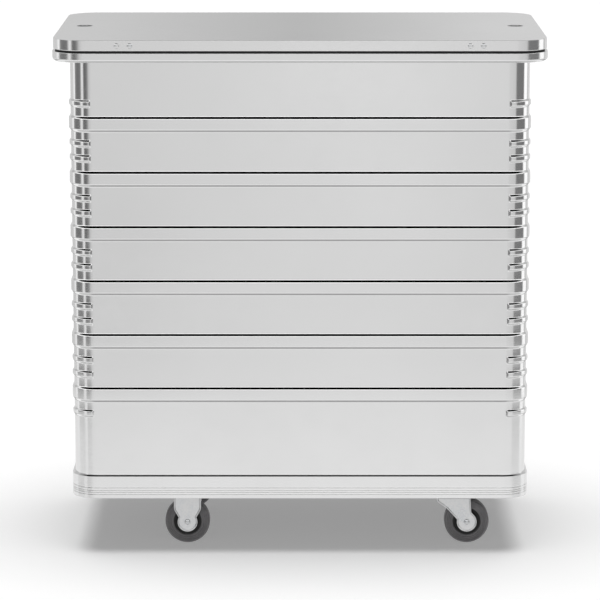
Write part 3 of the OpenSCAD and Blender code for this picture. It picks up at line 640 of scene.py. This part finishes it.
def latch(side):
    """A latch's cup, with a groove round its bore, and its plug, with a square recess for the key."""
    word = "left" if side < 0 else "right"
    cup_low, cup_high = span(f"latch_cup_{word}")
    centre = Vector((side * LATCH_X, 0, 0))
    cup = Shape()
    top, under = cup_high.z, cup_high.z - SHEET
    groove_in, groove_out = CUP_GROOVE_R, CUP_GROOVE_R + CUP_GROOVE_W
    section = [(CUP_BORE_R, cup_low.z), (CUP_BODY_R, cup_low.z), (CUP_BODY_R, under - CUP_SHOULDER_T),
               (CUP_SHOULDER_R, under - CUP_SHOULDER_T), (CUP_SHOULDER_R, under), (CUP_FACE_R, under),
               (CUP_FACE_R, top, 0.5), (groove_out, top), (groove_out - CUP_GROOVE_SLOPE, top - CUP_GROOVE_D),
               (groove_in + CUP_GROOVE_SLOPE, top - CUP_GROOVE_D), (groove_in, top), (CUP_BORE_R, top)]
    turned(cup, fillet(section, 0.15, 3), centre, (0, 0, 1), 48, close=True)
    cup.build(f"latch_cup_ring_{word}", "lid", f"latch_cup_{word}")

    plug = Shape()
    foot = span(f"latch_plug_{word}")[0].z + PLUG_FOOT_UP
    top, collar_top = lid_high.z, cup_low.z - COLLAR_GAP
    section = [(PLUG_FOOT_R, foot), (PLUG_R, foot), (PLUG_R, collar_top - COLLAR_T),
               (COLLAR_R, collar_top - COLLAR_T), (COLLAR_R, collar_top), (PLUG_R, collar_top),
               (PLUG_R, top, 0.5), (PLUG_FACE_R, top)]
    turned(plug, fillet(section, 0.2, 3, closed=False), centre, (0, 0, 1), 40)
    corners = [(-KEY_HALF, -KEY_HALF), (KEY_HALF, -KEY_HALF), (KEY_HALF, KEY_HALF), (-KEY_HALF, KEY_HALF)]
    upper, lower = ([centre + Vector((a, b, z)) for a, b, _, _ in fillet(corners, KEY_CORNER_R, 3)]
                    for z in (top, top - KEY_DEPTH))
    plug.fill([circle(centre.x, 0, PLUG_FACE_R, top), upper], (0, 0, 1))
    walls = [[(point, (centre - point) * Vector((1, 1, 0))) for point in square] for square in (upper, lower)]
    plug.grid(walls, close_columns=True)
    plug.fill([lower], (0, 0, 1))
    plug.build(f"latch_plug_socket_{word}", f"latch_{word}", f"latch_plug_{word}")


latch(-1)
latch(1)


# ---- Casters ----

# A leg is a sheet with a round end at the axle and a rim turned outwards. LEG_IN is from the wheel's middle.
AXLE_Z, LEG_IN, PLATE_T, DISC_R, DISC_STEPS = 50, 19, 3, 22.5, 22
RIM_W, RIM_H = 1.6, 1.6

# Corners of the legs, as (x from the axle, z) with a radius where there is a third number,
# and the angles between which the round end runs
FIXED_HALF_L, FIXED_NECK_Z, FIXED_NECK_R, FIXED_DISC = 30.4, 79, 18, (158, 382)
FIXED_WAIST_X, FIXED_WAIST_Z = 19.6, 59.6
SWIVEL_FRONT_X, SWIVEL_BACK_DROP, SWIVEL_DISC = 7.6, 9, (170, 412)
SWIVEL_ELBOW, SWIVEL_HEEL, SWIVEL_BROW = (-45.3, 81.7, 12), (-22, 55.9, 1), (10.3, 72, 4)

# Top plates, crowns, races and kingpins
PLATE_HALF_L, PLATE_HALF_W, PLATE_R = 52.5, 42.5, 10
HOLE_X, HOLE_Y, HOLE_R = 40, 30, 4.4
CROWN_R, CROWN_T, CROWN_STEP, RACE_R, PIN_R = 32, 8, 3, 28, 6

# Wheels and axles
TYRE_IN_R, TYRE_RINGS, RING_W, RING_D = 31, (35.5, 39.5, 43), 1.4, 0.7
HUB_R, HUB_OUT_R, WEB_HALF_T, CORE_HALF_T = 6.1, 13.5, 12.8, 14
AXLE_R, AXLE_HEAD_H, AXLE_HEAD_RIM, AXLE_CHAMFER = 4, 4.24, 0.8, 0.6
TIP_R = 0.01


def disc_arc(start, end):
    """Corners on the round end of a fork leg, from one angle to another, anticlockwise."""
    angles = [math.radians(start + (end - start) * k / DISC_STEPS) for k in range(DISC_STEPS + 1)]
    return [(DISC_R * math.cos(angle), AXLE_Z + DISC_R * math.sin(angle)) for angle in angles]


def leg(shape, corners, x, y, side):
    """A pressed fork leg with a turned-out rim. side is the side of the wheel that it is on.

    Each loop is the outline, set in and at a distance from the wheel's middle, with its normal's parts
    across and in the sheet.
    """
    face, edge = LEG_IN + PLATE_T, LEG_IN + PLATE_T + RIM_H
    line = fillet(corners, 3, 5)
    loops = []
    for inset, depth, across, in_plane in (
            (0.6, LEG_IN, -1, 0), (0, LEG_IN, 0, 1), (0, edge - 0.8, 0, 1), (0.5, edge, 1, 0.5),
            (RIM_W, edge, 1, -0.3), (RIM_W + 1.1, face + 0.4, 0.5, -1), (RIM_W + 2.4, face, 1, -0.1),
            (RIM_W + 3, face, 1, 0)):
        loops.append([(Vector((x + a - normal_a * inset, y + side * depth, b - normal_b * inset)),
                       Vector((normal_a * in_plane, side * across, normal_b * in_plane)))
                      for a, b, normal_a, normal_b in line])
    shape.grid(loops, close_columns=True)
    shape.fill([[point for point, _ in loops[-1]]], (0, side, 0))
    shape.fill([[point for point, _ in loops[0]]], (0, -side, 0))


def plate(shape, x, y, top):
    """A caster's top plate, with rounded corners and four bolt holes."""
    outline = [(point + Vector((x, y)), way)
               for point, way in rounded_rectangle(PLATE_HALF_L, PLATE_HALF_W, PLATE_R, 6)]
    section = [(-1, top - PLATE_T), (0, top - PLATE_T, 0.8), (0, top, 0.8), (-1, top)]
    rows = [ring_row(outline, *place) for place in fillet(section, 0.5, 3, closed=False)]
    shape.grid(rows, close_columns=True)
    for row, height, facing in ((rows[0], top - PLATE_T, -1), (rows[-1], top, 1)):
        holes = [circle(x + sx * HOLE_X, y + sy * HOLE_Y, HOLE_R, height, 16)
                 for sx in (-1, 1) for sy in (-1, 1)]
        shape.fill([[point for point, _ in row]] + holes, (0, 0, facing))


def fixed_fork(word):
    """A fixed caster's fork: its plate and two straight legs that narrow to the axle."""
    low, high = span(f"fixed_fork_{word}")
    x, y = (low.x + high.x) / 2, (low.y + high.y) / 2
    leg_top = high.z - PLATE_T + 1
    corners = [(FIXED_HALF_L, leg_top), (-FIXED_HALF_L, leg_top), (-FIXED_HALF_L, FIXED_NECK_Z, FIXED_NECK_R),
               (-FIXED_WAIST_X, FIXED_WAIST_Z, 1), *disc_arc(*FIXED_DISC), (FIXED_WAIST_X, FIXED_WAIST_Z, 1),
               (FIXED_HALF_L, FIXED_NECK_Z, FIXED_NECK_R)]
    shape = Shape()
    for side in (-1, 1):
        leg(shape, corners, x, y, side)
    plate(shape, x, y, high.z)
    shape.build(f"pressed_fixed_fork_{word}", "chest", f"fixed_fork_{word}")


def swivel_fork(word):
    """A swivel caster's fork: a crown on the kingpin, a bridge under it and two legs that slant back."""
    low, high = span(f"swivel_fork_{word}")
    pin_low, pin_high = span(f"swivel_kingpin_{word}")
    pin_x, y = (pin_low.x + pin_high.x) / 2, (low.y + high.y) / 2
    x = high.x - DISC_R
    back, front = low.x, x + SWIVEL_FRONT_X
    crown_low, crown_high = high.z - CROWN_T, high.z
    corners = [(SWIVEL_FRONT_X, crown_low + 1), (back - x, crown_low + 1),
               (back - x, crown_low - SWIVEL_BACK_DROP, 8), SWIVEL_ELBOW, SWIVEL_HEEL,
               *disc_arc(*SWIVEL_DISC), SWIVEL_BROW]
    shape = Shape()
    for side in (-1, 1):
        leg(shape, corners, x, y, side)
    section = [(PIN_R, crown_low), (CROWN_R - CROWN_STEP, crown_low), (CROWN_R - CROWN_STEP, crown_low + 2),
               (CROWN_R, crown_low + 2), (CROWN_R, crown_low + 3.4), (CROWN_R - 4, crown_high, 2.5),
               (PIN_R, crown_high)]
    turned(shape, fillet(section, 0.8, 4), (pin_x, y, 0), (0, 0, 1), 48, close=True)
    bridge = fillet([(back, crown_low), (front, crown_low), (front, crown_low + PLATE_T),
                     (back, crown_low + PLATE_T)], 1, 3)
    rows = [[(Vector((a, y + side * (LEG_IN + PLATE_T), b)), Vector((normal_a, 0, normal_b)))
             for a, b, normal_a, normal_b in bridge] for side in (-1, 1)]
    shape.grid(rows, close_columns=True)
    shape.build(f"pressed_swivel_fork_{word}", f"swivel_{word}", f"swivel_fork_{word}")


def race_plate(word):
    """A swivel caster's top plate, with the upper race drawn down from it."""
    low, high = span(f"swivel_plate_{word}")
    x, y = (low.x + high.x) / 2, (low.y + high.y) / 2
    shape = Shape()
    plate(shape, x, y, high.z)
    under = high.z - PLATE_T
    section = [(PIN_R, low.z), (RACE_R - 5, low.z), (RACE_R, low.z + 3.5, 2), (RACE_R, under - 1.5),
               (RACE_R + 1.5, under)]
    turned(shape, fillet(section, 1, 4, closed=False), (x, y, 0), (0, 0, 1), 48)
    shape.build(f"pressed_race_plate_{word}", "chest", f"swivel_plate_{word}")


def mirrored_section(side):
    """A closed section from the corners of its upper half. The lower half is its mirror image."""
    return side + [(r, -a, *rest) for r, a, *rest in reversed(side)]


def tyre(kind, word):
    """A grey tyre: fine rings on its sides, a small step at each shoulder and a plain tread."""
    low, high = span(f"{kind}_tyre_{word}")
    middle, half = (low + high) / 2, (high.y - low.y) / 2
    wheel_r = (high.z - low.z) / 2
    side = [(TYRE_IN_R, half - 1.2, 0.5), (TYRE_IN_R + 1.4, half, 0.6)]
    for ring in TYRE_RINGS:
        side += [(ring, half), (ring + 0.4, half - RING_D), (ring + 1, half - RING_D), (ring + RING_W, half)]
    side += [(wheel_r - 3.4, half, 1), (wheel_r - 2.8, half - 1, 0.3), (wheel_r, half - 3.6, 2.4)]
    shape = Shape()
    turned(shape, fillet(mirrored_section(side), 0.2, 3), middle, (0, -1, 0), 72, close=True)
    shape.build(f"ringed_tyre_{kind}_{word}", f"{kind}_wheel_{word}", f"{kind}_tyre_{word}")


def core(kind, word):
    """A moulded wheel core: a grooved rim, a dished web and a hub."""
    low, high = span(f"{kind}_core_{word}")
    middle, hub = (low + high) / 2, (high.y - low.y) / 2
    web, rim = WEB_HALF_T, CORE_HALF_T
    side = [(HUB_R, hub, 0.4), (HUB_OUT_R, hub, 1), (16, web, 3), (24.2, web, 1), (25.2, web + 1),
            (26.8, web + 1), (27.3, web + 0.1), (28, web + 0.1), (28.5, rim, 0.3),
            (TYRE_IN_R - 0.05, rim, 0.4)]
    shape = Shape()
    turned(shape, fillet(mirrored_section(side), 0.3, 3), middle, (0, -1, 0), 60, close=True)
    shape.build(f"moulded_core_{kind}_{word}", f"{kind}_wheel_{word}", f"{kind}_core_{word}")


def axle(kind, word):
    """A button-headed axle bolt, with its head on the wheel's front side."""
    low, high = span(f"{kind}_axle_{word}")
    middle = (low + high) / 2
    centre = Vector((middle.x, 0, middle.z))
    head_r, tip, face = (high.z - low.z) / 2, -high.y, -low.y - AXLE_HEAD_H
    points = [(TIP_R, tip, 0, -1), (AXLE_R - AXLE_CHAMFER, tip, 0.3, -1),
              (AXLE_R, tip + AXLE_CHAMFER, 1, -0.3), (AXLE_R, face, 1, 0), (head_r, face, 0, -1),
              (head_r, face + AXLE_HEAD_RIM, 1, 0)]
    for k in range(1, 8):
        across, up = math.cos(math.pi / 2 * k / 7), math.sin(math.pi / 2 * k / 7)
        height = AXLE_HEAD_RIM + (AXLE_HEAD_H - AXLE_HEAD_RIM) * up
        points.append((max(TIP_R, head_r * across), face + height, across, 2 * up))
    shape = Shape()
    turned(shape, points, centre, (0, -1, 0), 40)
    body = "chest" if kind == "fixed" else f"swivel_{word}"
    shape.build(f"button_axle_{kind}_{word}", body, f"{kind}_axle_{word}")


for word in ("front", "rear"):
    fixed_fork(word)
    swivel_fork(word)
    race_plate(word)
    for kind in ("fixed", "swivel"):
        tyre(kind, word)
        core(kind, word)
        axle(kind, word)


# ---- CAD pieces that stay ----

EDGE_WIDTH, SHARP_ANGLE = 0.3, 35


def soften(piece):
    """Small rounded edges, so that bends and edges catch the light."""
    bevel = piece.modifiers.new("bevel", "BEVEL")
    bevel.width = EDGE_WIDTH * MM
    bevel.segments = 2
    bevel.limit_method = "ANGLE"
    bevel.angle_limit = math.radians(SHARP_ANGLE)
    bevel.harden_normals = True


for node, piece in frame["nodes"].items():
    piece.data.materials.clear()
    piece.data.materials.append(looks[slot_of_node[node]])
    soften(piece)


# ---- Floor, light and surroundings ----

FLOOR_HALF = 40


def studio_floor():
    """White paper under the chest. It glows a little, as painted light that lifts the shade under the chest,
    and the metal does not mirror it.
    """
    mesh = bpy.data.meshes.new("floor")
    corners = [(sx * FLOOR_HALF, sy * FLOOR_HALF, 0) for sx, sy in ((-1, -1), (1, -1), (1, 1), (-1, 1))]
    mesh.from_pydata(corners, [], [(0, 1, 2, 3)])
    floor = bpy.data.objects.new("floor", mesh)
    bpy.context.collection.objects.link(floor)
    material, tree, coords = start_material("floor_paper")
    tone = ramp(tree, noise(tree, coords, 0.8, detail=2), [(0.3, 0.79), (0.7, 0.81)])
    # The emission is painted light. It brightens the whole floor, so the shade under the chest stays a pale
    # grey.
    finish_material(tree, {"Base Color": tone, "Roughness": 0.9, "Specular IOR Level": 0.1,
                           "Emission Color": (1, 1, 1, 1), "Emission Strength": 0.25})
    mesh.materials.append(material)
    floor.visible_glossy = False


def surroundings():
    """What the metal mirrors: light and dark screens, pale bands above and below them, and a dark ceiling.

    turn goes from 0 behind the chest to 1 in front of it, on either side.
    """
    world = bpy.data.worlds.new("studio")
    world.use_nodes = True
    tree = world.node_tree
    tree.nodes.clear()
    direction = add(tree, "TexCoord").outputs["Generated"]
    x, y, z = add(tree, "SeparateXYZ", {0: direction}).outputs
    turn = math_node(tree, "DIVIDE", math_node(tree, "ARCTAN2", math_node(tree, "ABSOLUTE", x), y), math.pi)

    def around(*stops):
        return ramp(tree, turn, stops, "LINEAR")

    left = around((0, 0.5), (0.02, 0.62), (0.06, 0.68), (0.33, 0.68), (0.36, 0.8), (0.39, 1.0), (0.43, 1.0),
                  (0.46, 0.25), (0.55, 0.17), (0.65, 0.2), (0.69, 0.85), (0.735, 0.85), (0.76, 0.15),
                  (0.82, 0.15), (0.87, 0.3), (0.91, 0.62), (0.98, 0.7), (1, 0.825))
    right = around((0, 0.5), (0.02, 0.68), (0.27, 0.8), (0.295, 0.3), (0.32, 0.8), (0.355, 1.2),
                   (0.47, 1.2), (0.5, 0.2), (0.74, 0.2), (0.78, 0.66), (0.95, 0.72), (0.98, 0.76),
                   (0.992, 0.85), (1, 0.825))
    sides = mix(tree, math_node(tree, "GREATER_THAN", x, 0.0), left, right)
    level = ramp(tree, remap(tree, z, 0, 1, -0.3, -0.1),
                 [(0.4, 1.0), (0.475, 0.91), (0.6, 0.94), (0.75, 0.98), (0.925, 1.0)], "LINEAR")
    seen = mix(tree, 1.0, sides, level, "MULTIPLY")

    # Each layer starts at one height of the direction, from -1 straight down to 1 straight up, covers what is
    # there from the second height on, and has a tone.
    floor_near = around((0, 0.48), (0.25, 0.45), (0.5, 0.55), (0.75, 0.7), (0.9, 0.86), (1, 0.86))
    screens_above = around((0, 0.6), (0.3, 0.5), (0.5, 1.2), (0.6, 1.45), (1, 1.45))
    ceiling = around((0, 0.4), (0.4, 0.35), (0.55, 0.0), (1, 0.0))
    layers = ((-0.21, -0.23, 0.88), (-0.28, -0.34, floor_near), (-0.47, -0.52, 1.0), (-0.72, -0.76, 0.63),
              (-0.965, -0.99, 0.38), (0.22, 0.32, screens_above), (0.6, 0.64, ceiling))
    for start, end, tone in layers:
        tone = (tone, tone, tone, 1) if isinstance(tone, float) else tone
        seen = mix(tree, remap(tree, z, 0, 1, start, end), seen, tone)

    # Matt surfaces get little light from it, and the camera sees white.
    path = add(tree, "LightPath").outputs
    seen = mix(tree, math_node(tree, "GREATER_THAN", path["Diffuse Depth"], 0.5), seen, (0.15, 0.15, 0.15, 1))
    colour = mix(tree, path["Is Camera Ray"], seen, (1, 1, 1, 1))
    background = add(tree, "Background", {"Color": colour, "Strength": 1.0})
    add(tree, "OutputWorld", {"Surface": background.outputs[0]})
    bpy.context.scene.world = world


def overhead_light():
    """A soft light from straight above, too wide to leave hard shadow edges."""
    data = bpy.data.lights.new("overhead", "SUN")
    data.angle = math.radians(45)
    data.energy = 2.6
    lamp = bpy.data.objects.new("overhead", data)
    lamp.visible_glossy = False
    bpy.context.collection.objects.link(lamp)


studio_floor()
surroundings()
overhead_light()
bpy.context.scene.view_settings.view_transform = "Standard"
